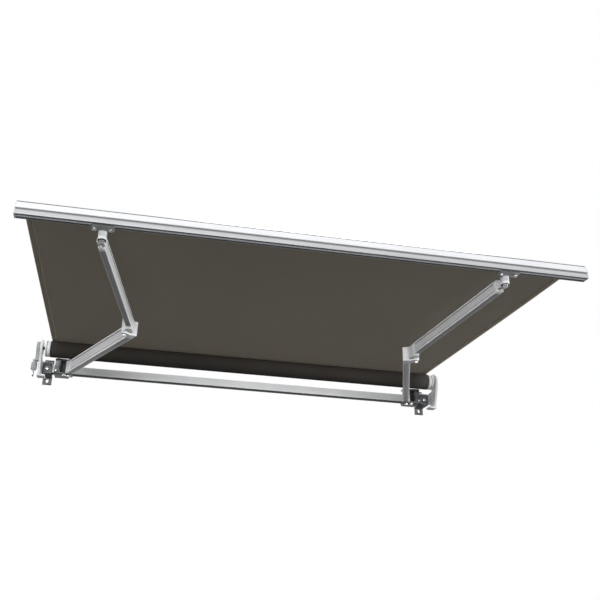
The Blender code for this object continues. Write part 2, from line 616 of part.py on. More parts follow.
def build_forearm(side, tag, fork_low, fork_high):
    """Forearm tube with a knuckle in the elbow fork and a wrist eye under the front bar."""
    pivot = (side * ELBOW[0], ELBOW[1], 0.0)
    frame, length = arm_frame(
        FOREARM_LINE[side], FOREARM_LEVEL, FOREARM_TUBE_FROM_Y, FOREARM_TUBE_TO_Y, side)
    tube = profile(
        "forearm_tube_" + tag, arm_section(FOREARM_WIDTH, FOREARM_HEIGHT), 0.0, length, frame, ALUMINIUM)
    set_origin(tube, pivot)

    low = fork_low + ELBOW_LUG + PIVOT_CLEARANCE
    high = fork_high - ELBOW_LUG - PIVOT_CLEARANCE
    knuckle_end = FOREARM_TUBE_FROM_Y + 0.0075
    plan = [(ELBOW[0] - 0.0044, knuckle_end)] + arc(ELBOW, ELBOW_EYE_RADIUS, -60, 112, 16)
    plan += [(ELBOW[0] - 0.0090, ELBOW[1] + 0.0140), (ELBOW[0] - 0.0340, ELBOW[1] - 0.0100)]
    plan += [(ELBOW[0] - 0.0260, knuckle_end)]
    knuckle = profile(
        "forearm_elbow_knuckle_" + tag, [sided(side, plan)], low, high, UPRIGHT, ALUMINIUM)
    soften(knuckle, 0.0010, 2)
    neck = profile(
        "knuckle_neck_" + tag, [rounded(FOREARM_WIDTH, FOREARM_HEIGHT - 0.001, 0.003, 3)], -0.030, -FIT,
        frame)
    tenon = arm_tenon("knuckle_tenon_" + tag, FOREARM_WIDTH, FOREARM_HEIGHT, frame, -0.004, 0.045)
    add(knuckle, neck, tenon)
    reach = sorted((0, side * 1.0))
    near = ELBOW[1] - 0.026
    far = ELBOW[1] + 0.154
    clear_low = block("knuckle_clear_low_" + tag, (reach[0], near, -0.2), (reach[1], far, low))
    clear_high = block("knuckle_clear_high_" + tag, (reach[0], near, high), (reach[1], far, 0.2))
    hole = rod(
        "knuckle_hole_" + tag, ELBOW_PIN_RADIUS + FIT, (pivot[0], pivot[1], low - 0.02),
        (pivot[0], pivot[1], high + 0.02), None, 40)
    cut(knuckle, clear_low, clear_high, hole)
    set_origin(knuckle, pivot)

    wrist_x = side * WRIST[side][0]
    wrist_y = WRIST[side][1]
    eye = rod(
        "forearm_wrist_end_" + tag, WRIST_BARREL_RADIUS, (wrist_x, wrist_y, WRIST_EYE_BOTTOM),
        (wrist_x, wrist_y, WRIST_EYE_TOP), ALUMINIUM, 48)
    neck_low = profile(
        "wrist_neck_" + tag, [rounded(FOREARM_WIDTH, FOREARM_HEIGHT - 0.001, 0.003, 3)], length + FIT,
        length + 0.046, frame)
    wrist_tenon = arm_tenon(
        "wrist_tenon_" + tag, FOREARM_WIDTH, FOREARM_HEIGHT, frame, length - 0.045, length + 0.004)
    add(eye, neck_low, wrist_tenon)
    beyond = wrist_y - 0.133
    top_trim = block(
        "wrist_trim_top_" + tag, (reach[0], beyond, WRIST_EYE_TOP), (reach[1], wrist_y + 0.0430, 0.2))
    low_trim = block(
        "wrist_trim_low_" + tag, (reach[0], beyond, -0.2), (reach[1], wrist_y + 0.0390, WRIST_EYE_BOTTOM))
    front_trim = block(
        "wrist_trim_front_" + tag, (reach[0], beyond, -0.2),
        (reach[1], wrist_y - WRIST_BARREL_RADIUS + 0.0002, 0.2))
    eye_bore = rod(
        "wrist_bore_" + tag, WRIST_PIN_RADIUS + FIT, (wrist_x, wrist_y, WRIST_EYE_BOTTOM - 0.02),
        (wrist_x, wrist_y, WRIST_EYE_TOP + 0.02), None, 32)
    cut(eye, top_trim, low_trim, front_trim, eye_bore)
    screw_x = wrist_x + side * 0.0020
    screw = rod(
        "wrist_screw_" + tag, 0.0038, (screw_x, wrist_y + 0.0300, 0.0150),
        (screw_x, wrist_y + 0.0440, 0.0150), None, 20)
    add(eye, screw)
    set_origin(eye, pivot)


def build_foot(side, tag):
    """Foot plate screwed under the front bar with the upper half of the wrist barrel."""
    x = side * WRIST[side][0]
    y = WRIST[side][1]
    top = FRONT_BOTTOM_Z - FIT
    bottom = top - FOOT_PLATE
    plan = rounded(2 * FOOT_HALF_WIDTH, FOOT_BACK_Y - FOOT_FRONT_Y, 0.010, 5)
    centre = Matrix.Translation((x, (FOOT_BACK_Y + FOOT_FRONT_Y) / 2, 0))
    foot = profile("front_bar_foot_" + tag, [plan], bottom, top, centre, CASTING)
    barrel = rod(
        "foot_barrel_" + tag, WRIST_BARREL_RADIUS, (x, y, WRIST_EYE_TOP + OPEN_PIVOT_GAP),
        (x, y, top - 0.0004), None, 48)
    add(foot, barrel)
    if side < 0:
        hole = rod(
            "foot_hole_" + tag, WRIST_PIN_RADIUS + FIT, (x, y, WRIST_EYE_TOP - 0.01),
            (x, y, bottom - 0.0010), None, 32)
        cut(foot, hole)
    bolt_holes = []
    for n, offset in (("a", -FOOT_BOLT_OFFSET), ("b", FOOT_BOLT_OFFSET)):
        bolt_holes.append(rod(
            "foot_bolt_hole_" + n + "_" + tag, 0.0033 + FIT, (x + offset, FOOT_BOLT_Y, bottom - 0.01),
            (x + offset, FOOT_BOLT_Y, top + 0.01), None, 24))
    cut(foot, *bolt_holes)
    pivot = (x, y, 0.0)
    set_origin(foot, pivot)
    for n, offset in (("a", -FOOT_BOLT_OFFSET), ("b", FOOT_BOLT_OFFSET)):
        at = (x + offset, FOOT_BOLT_Y)
        bolt = rod(
            "foot_bolt_" + n + "_" + tag, 0.0033, (at[0], at[1], bottom - 0.001),
            (at[0], at[1], top + 0.0070), STEEL, 24)
        head = rod(
            "foot_bolt_head_" + n + "_" + tag, 0.0064, (at[0], at[1], bottom - 0.0070),
            (at[0], at[1], bottom - FIT), None, 32, 0.0064)
        add(bolt, head)
        set_origin(bolt, pivot)
    if side < 0:
        pin_end = bottom - 0.0015
    else:
        pin_end = WRIST_EYE_TOP
    pin = rod(
        "wrist_pin_" + tag, WRIST_PIN_RADIUS, (x, y, WRIST_EYE_BOTTOM - 0.0030),
        (x, y, pin_end), STEEL, 32)
    cap = rod(
        "wrist_pin_cap_" + tag, 0.0098, (x, y, WRIST_EYE_BOTTOM - 0.0045),
        (x, y, WRIST_EYE_BOTTOM - FIT), None, 40)
    add(pin, cap)
    set_origin(pin, (side * ELBOW[0], ELBOW[1], 0.0))


def front_outline():
    """Outer outline of the front bar as (Y, Z), from the lower front corner round the top."""
    y0 = FRONT_Y
    y1 = FRONT_BACK_Y
    z0 = FRONT_BOTTOM_Z
    low = GROOVE_LOW_WIDTH / 2
    high = GROOVE_HIGH_WIDTH / 2
    points = [(y0 + 0.0024, z0), (y0 + 0.0010, z0 + 0.0030), (y0, z0 + 0.0100), (y0, GROOVE_LOW_Z - low)]
    points += [(y0 + low, GROOVE_LOW_Z - low / 2), (y0 + low, GROOVE_LOW_Z + low / 2)]
    points += [(y0 + 0.0002, GROOVE_LOW_Z + low), (y0 + 0.0007, GROOVE_LOW_Z + 0.0075)]
    points += [(y0 + 0.0020, GROOVE_LOW_Z + 0.0155), (y0 + 0.0044, GROOVE_HIGH_Z - 0.0065)]
    points += [(y0 + 0.0076, GROOVE_HIGH_Z - high), (y0 + 0.0104, GROOVE_HIGH_Z)]
    points += [(y0 + 0.0096, GROOVE_HIGH_Z + high), (y0 + 0.0130, z0 + 0.0522), (y0 + 0.0175, z0 + 0.0552)]
    points += [(y0 + 0.0225, z0 + 0.0587)]
    points += [(y0 + 0.0270, z0 + 0.0617), (y1 - 0.0015, FRONT_TOP_Z), (y1, FRONT_TOP_Z - 0.0015)]
    return points


def build_front_bar():
    """Hollow front profile with a keder groove at the back and a foot slot underneath."""
    y1 = FRONT_BACK_Y
    slot_low = FABRIC_Z - FIT
    slot_high = FABRIC_Z + 0.0003 + FABRIC_THICKNESS + FIT
    groove_y = y1 - 0.0052
    lip = 0.0018
    middle = (slot_low + slot_high) / 2
    outline = front_outline()
    outline += [(y1, slot_high)]
    gap = (slot_high - slot_low) / 2
    start = atan2(gap, lip)
    radius = hypot(gap, lip)
    opening = [(groove_y + lip, slot_high)]
    sweep = arc((groove_y, middle), radius, start * 180 / pi, 360 - start * 180 / pi, 16)
    outline += opening + sweep[1:-1] + [(groove_y + lip, slot_low)]
    outline += [(y1, slot_low), (y1, FRONT_BOTTOM_Z + 0.0015), (y1 - 0.0015, FRONT_BOTTOM_Z)]
    foot_y = FOOT_BOLT_Y
    outline += [(foot_y + 0.0040, FRONT_BOTTOM_Z), (foot_y + 0.0040, FRONT_BOTTOM_Z + 0.0030)]
    outline += [(foot_y + 0.0058, FRONT_BOTTOM_Z + 0.0030), (foot_y + 0.0058, FRONT_BOTTOM_Z + 0.0090)]
    outline += [(foot_y - 0.0058, FRONT_BOTTOM_Z + 0.0090), (foot_y - 0.0058, FRONT_BOTTOM_Z + 0.0030)]
    outline += [(foot_y - 0.0040, FRONT_BOTTOM_Z + 0.0030), (foot_y - 0.0040, FRONT_BOTTOM_Z)]
    channel_y = FRONT_Y + 0.0040
    channel_z = FRONT_BOTTOM_Z + FRONT_CHANNEL_DEPTH
    outline += [(channel_y + FRONT_CHANNEL, FRONT_BOTTOM_Z), (channel_y + FRONT_CHANNEL, channel_z)]
    outline += [(channel_y, channel_z), (channel_y, FRONT_BOTTOM_Z)]
    hollow_low = FRONT_BOTTOM_Z + 0.0090 + FRONT_WALL
    hollow_high = FRONT_TOP_Z - 0.0125
    hollow = [
        (FRONT_Y + 0.0046, hollow_low), (y1 - FRONT_WALL, hollow_low), (y1 - FRONT_WALL, hollow_high),
        (FRONT_Y + 0.0185, hollow_high), (FRONT_Y + 0.0128, hollow_high - 0.0035),
        (FRONT_Y + 0.0080, hollow_high - 0.0110)]
    bar = profile(
        "front_bar_profile", [outline, hollow], -FRONT_HALF_LENGTH, FRONT_HALF_LENGTH, ALONG_X, WHITE_COAT)
    set_origin(bar, BAR_PIVOT)
    for side, tag in ((-1, "left"), (1, "right")):
        cap_outline = front_outline() + [(y1, FRONT_BOTTOM_Z + 0.0015), (y1 - 0.0015, FRONT_BOTTOM_Z)]
        start_x = side * (FRONT_HALF_LENGTH + FIT)
        end_x = side * (FRONT_HALF_LENGTH + FIT + FRONT_CAP)
        cap = profile("front_bar_cap_" + tag, [cap_outline], start_x, end_x, ALONG_X, PLASTIC)
        soften(cap, 0.0006, 1, 60)
        stub_x = sorted((side * (FRONT_HALF_LENGTH - 0.015), side * (FRONT_HALF_LENGTH + 0.002)))
        stub = block(
            "cap_stub_" + tag, (stub_x[0], FRONT_Y + 0.0086, hollow_low + 0.0006),
            (stub_x[1], y1 - 0.0030, hollow_high - 0.0116))
        add(cap, stub)
        set_origin(cap, BAR_PIVOT)
    rod_radius = radius - 0.0005
    keder = rod(
        "fabric_keder_rod", rod_radius, (-FABRIC_HALF_WIDTH, groove_y, middle),
        (FABRIC_HALF_WIDTH, groove_y, middle), PLASTIC, 20)
    set_origin(keder, BAR_PIVOT)
    return groove_y + rod_radius


def build_roller():
    """Roller tube, its end collars with axles, and the wound cloth."""
    centre = (0.0, ROLLER_Y, ROLLER_Z)
    frame = Matrix.Translation(centre) @ ALONG_X
    tube_half = FABRIC_HALF_WIDTH + TUBE_PROUD
    tube = profile(
        "roller_tube",
        [arc((0, 0), TUBE_RADIUS, 0, 354, 59), arc((0, 0), TUBE_RADIUS - TUBE_WALL, 0, 354, 59)],
        -tube_half, tube_half, frame, ALUMINIUM)
    set_origin(tube, centre)
    roll = profile(
        "fabric_roll",
        [arc((0, 0), ROLL_RADIUS, 0, 355, 71), arc((0, 0), TUBE_RADIUS + FIT, 0, 354, 59)],
        -FABRIC_HALF_WIDTH, FABRIC_HALF_WIDTH, frame, FABRIC)
    set_origin(roll, centre)
    for side, tag in ((-1, "left"), (1, "right")):
        start = side * (tube_half + FIT)
        end = side * (tube_half + FIT + COLLAR_LENGTH)
        collar = rod(
            "roller_collar_" + tag, COLLAR_RADIUS, (start, *centre[1:]), (end, *centre[1:]), ALUMINIUM, 56)
        soften(collar, 0.0015, 2)
        plug = rod(
            "collar_plug_" + tag, TUBE_RADIUS - TUBE_WALL - FIT, (side * (tube_half - 0.040), *centre[1:]),
            (side * (tube_half + 0.003), *centre[1:]), None, 48)
        axle_end = BAR_HALF_LENGTH + FIT + ROLLER_BRACKET_DEPTH - 0.0010
        axle = rod(
            "collar_axle_" + tag, AXLE_RADIUS, (side * (tube_half + 0.004), *centre[1:]),
            (side * axle_end, *centre[1:]), None, 40)
        add(collar, plug, axle)
        set_origin(collar, centre)


def build_gear():
    """Crank gear on the left end: an upper disc, a neck, a round lower housing and the eye."""
    inner = -(BAR_HALF_LENGTH + FIT + ROLLER_BRACKET_DEPTH + FIT)
    outer = inner - 0.0180
    head = arc((ROLLER_Y, ROLLER_Z), 0.0300, -40, 220, 24)
    outline = head + [(-0.1705, 0.0300), (-0.1715, 0.0050), (-0.1455, 0.0050), (-0.1465, 0.0300)]
    gear = profile("crank_gear_housing", [outline], inner, outer, ALONG_X, PLASTIC)
    soften(gear, 0.0020, 2)
    centre_x = (inner + outer) / 2 - 0.0104
    bulb = rod(
        "gear_bulb", 0.0088, (centre_x, ROLLER_Y, 0.0120), (centre_x, ROLLER_Y, GEAR_BOTTOM), None, 40,
        GEAR_BULB_RADIUS - 0.0025)
    collar = rod(
        "gear_bulb_collar", GEAR_BULB_RADIUS, (centre_x, ROLLER_Y, GEAR_BOTTOM + 0.0350),
        (centre_x, ROLLER_Y, GEAR_BOTTOM + 0.0060), None, 40)
    add(gear, bulb, collar)
    bore = rod(
        "gear_shaft_bore", CRANK_SHAFT_RADIUS + FIT, (centre_x, ROLLER_Y, GEAR_BOTTOM + 0.0180),
        (centre_x, ROLLER_Y, GEAR_BOTTOM - 0.0070), None, 32)
    cut(gear, bore)
    soften(gear, 0.0006, 1, 50)
    shaft = rod(
        "crank_eye", CRANK_SHAFT_RADIUS, (centre_x, ROLLER_Y, GEAR_BOTTOM + 0.0170),
        (centre_x, ROLLER_Y, CRANK_EYE_Z + 0.0120), STEEL, 32)
    ring = bpy.data.meshes.new("crank_ring")
    data = bmesh.new()
    bmesh.ops.create_circle(data, cap_ends=False, segments=20, radius=0.0032)
    bmesh.ops.translate(data, vec=(0.0, 0.0105, 0.0), verts=data.verts)
    data.to_mesh(ring)
    data.free()
    loop = register(bpy.data.objects.new("crank_ring", ring), None)
    spin = loop.modifiers.new("turn", "SCREW")
    spin.axis = "X"
    spin.angle = 2 * pi
    spin.steps = 40
    spin.render_steps = 40
    spin.use_merge_vertices = True
    spin.merge_threshold = 0.0001
    loop.location = (centre_x, ROLLER_Y, CRANK_EYE_Z)
    add(shaft, loop)
    set_origin(shaft, (centre_x, ROLLER_Y, 0.0))


for bracket_side, bracket_tag in ((-1, "left"), (1, "right")):
    build_wall_bracket(bracket_side, bracket_tag)
    build_roller_bracket(bracket_side, bracket_tag)
    shoulder_low, shoulder_high = build_shoulder(bracket_side, bracket_tag)
    elbow_low, elbow_high = build_upper_arm(bracket_side, bracket_tag, shoulder_low, shoulder_high)
    build_elbow_pin(bracket_side, bracket_tag, elbow_low, elbow_high)
    build_forearm(bracket_side, bracket_tag, elbow_low, elbow_high)
    build_foot(bracket_side, bracket_tag)

fabric_end_y = build_front_bar()
build_roller()
build_gear()

# Cloth: one flat sheet from the top of the roll to the rod in the front bar.
cloth_low = FABRIC_Z + 0.0003
cloth = block(
    "awning_fabric", (-FABRIC_HALF_WIDTH, fabric_end_y + 0.0002, cloth_low),
    (FABRIC_HALF_WIDTH, ROLLER_Y, cloth_low + FABRIC_THICKNESS), FABRIC)
set_origin(cloth, (0.0, ROLLER_Y, cloth_low))
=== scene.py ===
"""Looks of a folding-arm awning, seen from below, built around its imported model."""
from math import pi, radians

import bpy
import numpy as np
from mathutils import Matrix, Vector


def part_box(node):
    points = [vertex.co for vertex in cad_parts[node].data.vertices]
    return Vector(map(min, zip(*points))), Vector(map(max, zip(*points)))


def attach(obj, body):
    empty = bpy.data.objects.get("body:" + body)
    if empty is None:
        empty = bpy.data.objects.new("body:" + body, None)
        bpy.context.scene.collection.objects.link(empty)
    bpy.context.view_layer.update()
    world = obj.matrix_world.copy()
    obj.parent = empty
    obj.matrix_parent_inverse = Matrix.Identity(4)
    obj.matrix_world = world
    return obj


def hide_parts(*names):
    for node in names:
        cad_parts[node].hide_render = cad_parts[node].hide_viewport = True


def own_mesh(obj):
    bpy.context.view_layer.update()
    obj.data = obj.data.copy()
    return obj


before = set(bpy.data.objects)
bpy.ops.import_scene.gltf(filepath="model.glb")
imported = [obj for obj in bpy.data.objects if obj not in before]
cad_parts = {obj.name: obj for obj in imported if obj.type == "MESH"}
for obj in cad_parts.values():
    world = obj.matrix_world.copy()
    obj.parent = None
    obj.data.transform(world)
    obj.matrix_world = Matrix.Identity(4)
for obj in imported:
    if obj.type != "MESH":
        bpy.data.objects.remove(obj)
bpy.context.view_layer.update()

# Camera
# It stands low in front of the awning and to the left, and looks up at its underside. The picture of
# the awning was cut out and centred again, so the lens is shifted sideways.
camera = bpy.data.objects.new("camera", bpy.data.cameras.new("camera"))
bpy.context.scene.collection.objects.link(camera)
standpoint = (-0.55597, -3.55, -1.02783)
view_right = Vector((0.98448, -0.17178, 0.03604))
view_down = Vector((0.09975, 0.3786, -0.92017))
view_ahead = Vector((0.14442, 0.90948, 0.38986))
view_turn = Matrix((view_right, -view_down, -view_ahead)).transposed()
camera.matrix_world = Matrix.Translation(standpoint) @ view_turn.to_4x4()
camera.data.sensor_width = 36
camera.data.lens = 43.297
camera.data.shift_x = 0.091667
bpy.context.scene.camera = camera


# Torsion bar
# A square steel tube with rounded edges that spans the wall brackets and carries everything else.
# It is rolled from sheet and powder coated in a pale satin grey.
def new_material(name, colour, roughness, metallic=0.0):
    """A plain surface to build on, with its shader and the piece's own space."""
    made = bpy.data.materials.new(name)
    made.use_nodes = True
    tree = made.node_tree
    shader = tree.nodes["Principled BSDF"]
    shader.inputs["Base Color"].default_value = (*colour, 1)
    shader.inputs["Roughness"].default_value = roughness
    shader.inputs["Metallic"].default_value = metallic
    place = tree.nodes.new("ShaderNodeTexCoord")
    return made, tree, shader, place.outputs["Object"]


def noise(tree, place, scale, detail=3.0, stretch=(1, 1, 1), turn=(0, 0, 0)):
    """Cloudy variation of a given fineness, drawn out along an axis by the mapping's scale."""
    grid = tree.nodes.new("ShaderNodeMapping")
    grid.inputs["Scale"].default_value = stretch
    grid.inputs["Rotation"].default_value = turn
    tree.links.new(place, grid.inputs["Vector"])
    cloud = tree.nodes.new("ShaderNodeTexNoise")
    cloud.inputs["Scale"].default_value = scale
    cloud.inputs["Detail"].default_value = detail
    tree.links.new(grid.outputs["Vector"], cloud.inputs["Vector"])
    return cloud.outputs["Fac"]


def ramp(tree, value, stops):
    """Colour that follows a value from 0 to 1 through a row of stops, each a value with its colour."""
    bands = tree.nodes.new("ShaderNodeValToRGB")
    steps = bands.color_ramp.elements
    for step, (position, colour) in zip(steps, (stops[0], stops[-1])):
        step.position = position
        step.color = (*colour, 1)
    for position, colour in stops[1:-1]:
        step = steps.new(position)
        step.color = (*colour, 1)
    tree.links.new(value, bands.inputs["Fac"])
    return bands.outputs["Color"]


def tint(tree, shader, amount, low, high):
    """Colour that runs from low to high over the middle of a 0 to 1 pattern."""
    tree.links.new(ramp(tree, amount, ((0.3, low), (0.7, high))), shader.inputs["Base Color"])


def relief(tree, shader, height, strength, distance, below=None):
    """Fine height pattern on the surface, laid over another one where given."""
    bump = tree.nodes.new("ShaderNodeBump")
    bump.inputs["Strength"].default_value = strength
    bump.inputs["Distance"].default_value = distance
    tree.links.new(height, bump.inputs["Height"])
    if below is not None:
        tree.links.new(below.outputs["Normal"], bump.inputs["Normal"])
    tree.links.new(bump.outputs["Normal"], shader.inputs["Normal"])
    return bump


def powder_coat(name, low, high, roughness):
    """Baked paint: even colour with an orange peel about 2 mm across."""
    made, tree, shader, place = new_material(name, high, roughness)
    tint(tree, shader, noise(tree, place, scale=9.0), low, high)
    peel = noise(tree, place, scale=520.0, detail=2.0)
    relief(tree, shader, peel, strength=0.12, distance=0.0004)
    shader.inputs["Specular IOR Level"].default_value = 0.2
    return made


def feed(tree, value, socket):
    """Gives a socket its value, by a link where another node gives it out."""
    if isinstance(value, bpy.types.NodeSocket):
        tree.links.new(value, socket)
    else:
        socket.default_value = value


def calculate(tree, operation, first, second=0.0):
    """Result of one step of arithmetic on two values."""
    step = tree.nodes.new("ShaderNodeMath")
    step.operation = operation
    feed(tree, first, step.inputs[0])
    feed(tree, second, step.inputs[1])
    return step.outputs["Value"]


def blend(tree, share, first, second, kind="MIX"):
    """The first colour with a share of the second, mixed in or multiplied with it."""
    mix = tree.nodes.new("ShaderNodeMix")
    mix.data_type = "RGBA"
    mix.blend_type = kind
    feed(tree, share, mix.inputs["Factor"])
    feed(tree, first, mix.inputs["A"])
    feed(tree, second, mix.inputs["B"])
    return mix.outputs["Result"]


def darken(tree, shader, shade, share=1.0):
    """Multiplies a surface's colour by a shade."""
    colour = shader.inputs["Base Color"]
    paint = colour.links[0].from_socket
    tree.links.new(blend(tree, share, paint, shade, "MULTIPLY"), colour)


def banded(tree, value, stops):
    """Grey that follows a value through a row of stops, each a value with its share of light."""
    first, last = stops[0][0], stops[-1][0]
    level = tree.nodes.new("ShaderNodeMapRange")
    level.inputs["From Min"].default_value = first
    level.inputs["From Max"].default_value = last
    tree.links.new(value, level.inputs["Value"])
    greys = [((where - first) / (last - first), (share, share, share)) for where, share in stops]
    return ramp(tree, level.outputs["Result"], greys)


def even(box, axis, share):
    """Stops that give one share of light all across a box along an axis."""
    low, high = (corner["XYZ".index(axis)] for corner in box)
    return (low, share), (high, share)


def shade_painted_coat(name, low, high, roughness, upward, under, floor, axis="Z"):
    """Baked paint with painted shade in colour and gloss, by one row of stops along an axis, and below a
    floor height by one along Y.
    """
    made = powder_coat(name, low, high, roughness)
    tree = made.node_tree
    shader = tree.nodes["Principled BSDF"]
    place = tree.nodes.new("ShaderNodeTexCoord")
    parts = tree.nodes.new("ShaderNodeSeparateXYZ")
    tree.links.new(place.outputs["Object"], parts.inputs["Vector"])
    below = calculate(tree, "LESS_THAN", parts.outputs["Z"], floor)
    share = blend(
        tree, below, banded(tree, parts.outputs[axis], upward), banded(tree, parts.outputs["Y"], under))
    darken(tree, shader, share)
    # The painted shade dims the gloss by the same share as the colour.
    full_gloss = 0.4
    gloss = calculate(tree, "MULTIPLY", share, full_gloss)
    tree.links.new(gloss, shader.inputs["Specular IOR Level"])
    return made


def smoothing(largest_turn):
    """Geometry nodes that round off shading where faces meet at less than the largest turn."""
    group = bpy.data.node_groups.new("round_shading", "GeometryNodeTree")
    group.interface.new_socket("Geometry", in_out="INPUT", socket_type="NodeSocketGeometry")
    group.interface.new_socket("Geometry", in_out="OUTPUT", socket_type="NodeSocketGeometry")
    start = group.nodes.new("NodeGroupInput")
    end = group.nodes.new("NodeGroupOutput")
    angle = group.nodes.new("GeometryNodeInputMeshEdgeAngle")
    sharp = group.nodes.new("FunctionNodeCompare")
    sharp.data_type = "FLOAT"
    sharp.operation = "GREATER_THAN"
    sharp.inputs[1].default_value = largest_turn
    faces = group.nodes.new("GeometryNodeSetShadeSmooth")
    edges = group.nodes.new("GeometryNodeSetShadeSmooth")
    edges.domain = "EDGE"
    edges.inputs["Shade Smooth"].default_value = False
    group.links.new(angle.outputs["Unsigned Angle"], sharp.inputs[0])
    group.links.new(start.outputs[0], faces.inputs["Geometry"])
    group.links.new(faces.outputs["Geometry"], edges.inputs["Geometry"])
    group.links.new(sharp.outputs["Result"], edges.inputs["Selection"])
    group.links.new(edges.outputs["Geometry"], end.inputs[0])
    return group


round_shading = smoothing(radians(32))


def shade_round(piece):
    """Adds the rounded shading to a piece."""
    shading = piece.modifiers.new("shading", "NODES")
    shading.node_group = round_shading


def dress(node, material, edge=0.0):
    """Gives a solid its material, a small worked edge and rounded shading."""
    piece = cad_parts[node]
    piece.data.materials.clear()
    piece.data.materials.append(material)
    weld = piece.modifiers.new("weld", "WELD")
    weld.merge_threshold = 0.00002
    if edge:
        bevel = piece.modifiers.new("edge", "BEVEL")
        bevel.width = edge
        bevel.segments = 2
        bevel.limit_method = "ANGLE"
        bevel.angle_limit = radians(38)
        bevel.use_clamp_overlap = True
    shade_round(piece)


tube_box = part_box("torsion_bar")
# Painted shade: the tube's underside, below this height, is painted at an eighth of its colour.
TUBE_UNDERSIDE = tube_box[0][2] + 0.0015
bar_coat = shade_painted_coat(
    "bar_coat", (0.78, 0.79, 0.80), (0.84, 0.85, 0.86), 0.38, even(tube_box, "Z", 1.0),
    even(tube_box, "Y", 0.12), TUBE_UNDERSIDE)
dress("torsion_bar", bar_coat)


# Wall brackets and their clamp bolts
# Cast jaws closed round the torsion bar, with a slotted tab below for the wall anchor, in dark grey.
# A zinc-plated hexagon bolt pulls each one tight on the bar.
def casting(name, low, high, roughness, metallic=0.0):
    """Sand-cast surface: grains about 1 mm across over slow colour drift, with painted shade in its corners.
    """
    made, tree, shader, place = new_material(name, high, roughness, metallic)
    tint(tree, shader, noise(tree, place, scale=34.0, detail=5.0), low, high)
    # Painted shade: the colour is darkened where other surfaces of the piece stand within 12 mm.
    corners = tree.nodes.new("ShaderNodeAmbientOcclusion")
    corners.only_local = True
    corners.samples = 6
    corners.inputs["Distance"].default_value = 0.012
    corner_shade_power = 1.6
    darken(tree, shader, calculate(tree, "POWER", corners.outputs["AO"], corner_shade_power))
    shader.inputs["Specular IOR Level"].default_value = 0.3
    grains = relief(
        tree, shader, noise(tree, place, scale=900.0, detail=2.0), strength=0.35, distance=0.0003)
    relief(tree, shader, noise(tree, place, scale=60.0), strength=0.2, distance=0.0010, below=grains)
    return made


def zinc(name, colour, roughness):
    """Plated steel with a faint mottled sheen."""
    made, tree, shader, place = new_material(name, colour, roughness, metallic=1.0)
    low = tuple(0.82 * part for part in colour)
    tint(tree, shader, noise(tree, place, scale=150.0, detail=2.0), low, colour)
    speckle = noise(tree, place, scale=1400.0, detail=1.0)
    relief(tree, shader, speckle, strength=0.08, distance=0.0002)
    return made


SIDES = {"left": -1, "right": 1}
BROAD_EDGE = 0.0006
FINE_EDGE = 0.0005
dark_casting = casting("dark_casting", (0.09, 0.092, 0.096), (0.17, 0.174, 0.18), 0.42, metallic=0.4)
bright_zinc = zinc("bright_zinc", (0.78, 0.79, 0.80), 0.26)
for side in SIDES:
    dress("wall_bracket_" + side, dark_casting, BROAD_EDGE)
    dress("wall_clamp_bolt_" + side, bright_zinc, FINE_EDGE)

# Roller brackets
# Ribbed aluminium castings pushed into the ends of the torsion bar. They carry the roller's axles
# and are coated in light grey.
light_coat = casting("light_coat", (0.64, 0.65, 0.66), (0.76, 0.77, 0.78), 0.40)
for side in SIDES:
    dress("roller_bracket_" + side, light_coat, BROAD_EDGE)

# Shoulder brackets with their pins and angle screws
# Heavy clamps on the torsion bar. The upper arm turns on a pin between the two lugs, and the screw
# beneath it sets the slope of the awning.
for side in SIDES:
    dress("shoulder_bracket_" + side, dark_casting, BROAD_EDGE)
    dress("shoulder_pin_" + side, bright_zinc, FINE_EDGE)
    dress("shoulder_adjuster_" + side, bright_zinc, FINE_EDGE)


# Clamp screws of the shoulder brackets
# A zinc-plated cap screw with a black washer draws each clamp together, low on its front plate.
def new_piece(name, points, faces, material):
    """A mesh of points and faces with its material, placed at the origin."""
    mesh = bpy.data.meshes.new(name)
    mesh.from_pydata(points.reshape(-1, 3).tolist(), [], faces)
    mesh.materials.append(material)
    piece = bpy.data.objects.new(name, mesh)
    bpy.context.scene.collection.objects.link(piece)
    return piece


def between(index):
    """Four-cornered faces between the neighbours in a grid of point numbers."""
    corners = (index[:-1, :-1], index[1:, :-1], index[1:, 1:], index[:-1, 1:])
    return np.stack(corners, axis=-1).reshape(-1, 4).tolist()


def turned(name, place, profile, material, downward=False):
    """Profile of radius over depth, swept round a line towards -Y or straight down, with flat ends."""
    steps_round = 48
    turn, row = np.meshgrid(
        np.linspace(0, 2 * pi, steps_round, endpoint=False), np.arange(len(profile)))
    radius, depth = np.array(profile).T
    wide, high, deep = radius[row] * np.cos(turn), radius[row] * np.sin(turn), depth[row]
    points = np.stack([wide, -high, -deep] if downward else [wide, -deep, high], axis=-1) + place
    index = np.arange(row.size).reshape(row.shape)
    ends = [index[0, ::-1].tolist(), index[-1].tolist()]
    around = np.concatenate([index, index[:, :1]], axis=1)
    piece = new_piece(name, points, between(around.T) + ends, material)
    shade_round(piece)
    return piece


black_steel = powder_coat("black_steel", (0.015, 0.015, 0.015), (0.022, 0.022, 0.022), 0.4)
SCREW_X = 0.9165
SCREW_Z = -0.0220
PLATE_FRONT_Y = -0.1175
WASHER_PROFILE = ((0.0068, 0.0), (0.0068, 0.0009), (0.0064, 0.0013), (0.0030, 0.0013))
SCREW_PROFILE = (
    (0.0046, 0.0013), (0.0046, 0.0052), (0.0042, 0.0058), (0.0024, 0.0058), (0.0022, 0.0040))
for side, sign in SIDES.items():
    seat = (sign * SCREW_X, PLATE_FRONT_Y, SCREW_Z)
    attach(turned("clamp_washer_" + side, seat, WASHER_PROFILE, black_steel), "base")
    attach(turned("clamp_screw_" + side, seat, SCREW_PROFILE, bright_zinc), "base")


